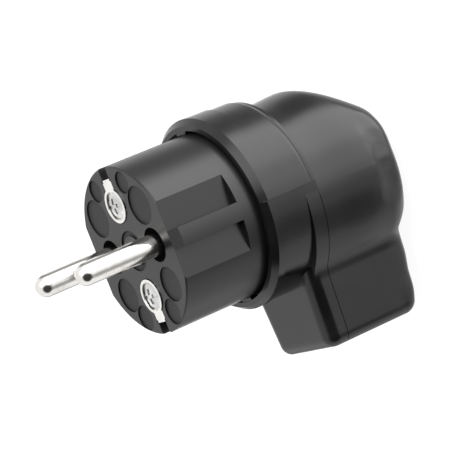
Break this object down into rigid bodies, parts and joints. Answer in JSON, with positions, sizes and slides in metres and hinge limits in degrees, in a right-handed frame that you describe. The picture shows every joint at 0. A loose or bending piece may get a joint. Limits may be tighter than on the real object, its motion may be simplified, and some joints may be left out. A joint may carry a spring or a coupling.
{
  "type": "type f plug",
  "caption": "Angled, rewireable mains plug with round pins, side earth clips and a flat-backed cover whose cable outlet stands at a right angle to the pins.",
  "frame": {"origin": "on the axis midway between the pins, in the plane of the flat back", "axes": "+Z along the pins towards their tips, X through both pins, -Y along the cable outlet"},
  "size_m": [0.0426, 0.0555, 0.076],
  "materials": {
    "black_plastic": "satin moulded",
    "nickel_pin": "nickel plated",
    "nickel_clip": "nickel plated strip",
    "zinc_screw": "zinc plated",
    "brass": "machined"
  },
  "bodies": {
    "root": {"pin_carrier": "black_plastic", "front_shell": "black_plastic", "rear_cover": "black_plastic", "left_pin": "nickel_pin", "right_pin": "nickel_pin", "top_earth_contact": "nickel_clip", "bottom_earth_contact": "nickel_clip", "top_housing_screw": "zinc_screw", "bottom_housing_screw": "zinc_screw", "left_terminal": "brass", "right_terminal": "brass", "left_terminal_screw": "zinc_screw", "right_terminal_screw": "zinc_screw", "earth_bridge": "brass", "earth_terminal": "brass", "earth_terminal_screw": "zinc_screw", "top_insert": "brass", "bottom_insert": "brass", "cord_clamp": "black_plastic", "left_clamp_screw": "zinc_screw", "right_clamp_screw": "zinc_screw"}
  },
  "joints": []
}
